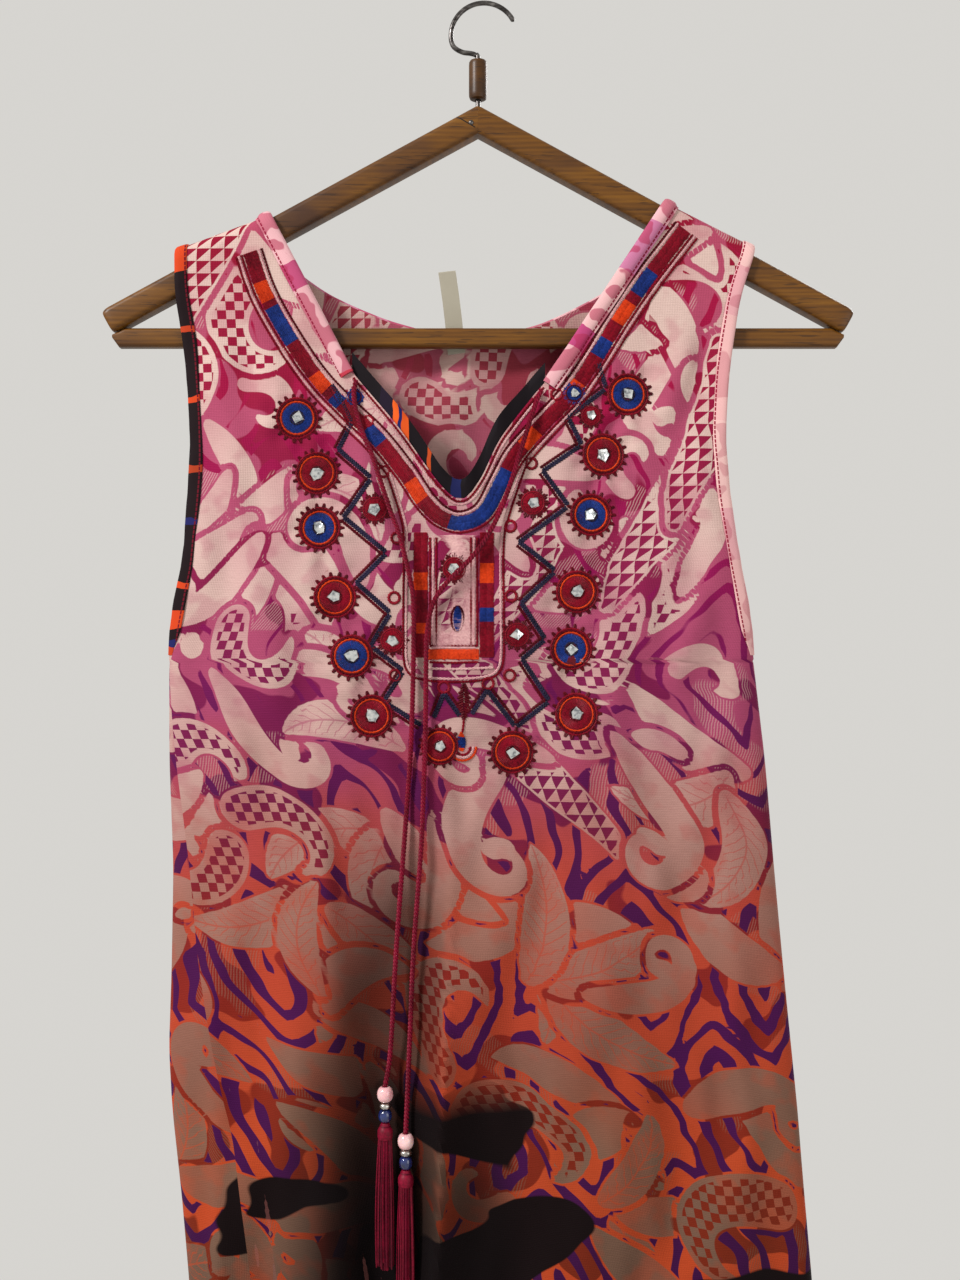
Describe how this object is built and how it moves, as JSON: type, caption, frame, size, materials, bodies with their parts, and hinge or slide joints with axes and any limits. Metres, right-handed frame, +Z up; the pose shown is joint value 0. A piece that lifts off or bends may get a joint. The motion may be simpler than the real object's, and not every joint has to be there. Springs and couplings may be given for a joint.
{
  "type": "sleeveless tunic top on a hanger",
  "caption": "Sleeveless printed tunic with a notch neck, embroidered yoke and tasselled drawstrings, hanging on a wooden hanger with a wire hook.",
  "frame": {"origin": "inner top of the hanger's hook, where a rail holds it", "axes": "+Z up, +X to the viewer's right when the front is seen, and the front faces -Y"},
  "size_m": [0.435, 0.0714, 0.9079],
  "materials": {
    "front_cloth": "printed semi-sheer crepe",
    "back_cloth": "printed semi-sheer crepe",
    "orange_binding": "printed binding",
    "pink_binding": "stitched binding",
    "casing": "rolled and stitched",
    "facing": "printed facing",
    "crimson_stitch": "satin stitch",
    "blue_stitch": "satin stitch",
    "pale_stitch": "chain stitch",
    "ribbon": "satin ribbon",
    "cord": "twisted cord",
    "tassel": "loose threads",
    "pearl_bead": "pearl gloss",
    "metal_ring": "polished",
    "dark_bead": "gloss",
    "hanger_wood": "clear varnish",
    "hook_steel": "dark plated wire"
  },
  "bodies": {
    "root": {"armhole_binding_left": "orange_binding", "armhole_binding_right": "pink_binding", "back_panel": "back_cloth", "bead_left": "dark_bead", "bead_right": "dark_bead", "cord_left": "cord", "cord_right": "cord", "flower_1": "crimson_stitch", "flower_2": "crimson_stitch", "flower_3": "crimson_stitch", "flower_4": "crimson_stitch", "flower_5": "crimson_stitch", "flower_6": "crimson_stitch", "front_panel": "front_cloth", "hanger_arm_left": "hanger_wood", "hanger_arm_right": "hanger_wood", "hanger_bar": "hanger_wood", "hook_wire": "hook_steel", "neck_band": "crimson_stitch", "neck_casing": "casing", "neck_loop": "ribbon", "notch_facing": "facing", "pearl_left": "pearl_bead", "pearl_right": "pearl_bead", "placket_foot": "orange_binding", "placket_left": "crimson_stitch", "placket_panel": "pale_stitch", "placket_right": "crimson_stitch", "ring_left": "metal_ring", "ring_right": "metal_ring", "rosette_left_1": "blue_stitch", "rosette_left_2": "crimson_stitch", "rosette_left_3": "blue_stitch", "rosette_left_4": "crimson_stitch", "rosette_left_5": "blue_stitch", "rosette_left_6": "crimson_stitch", "rosette_left_7": "blue_stitch", "rosette_right_1": "blue_stitch", "rosette_right_2": "crimson_stitch", "rosette_right_3": "blue_stitch", "rosette_right_4": "crimson_stitch", "rosette_right_5": "blue_stitch", "rosette_right_6": "crimson_stitch", "rosette_right_7": "blue_stitch", "stem_sleeve": "hanger_wood", "tassel_left": "tassel", "tassel_right": "tassel"}
  },
  "joints": []
}
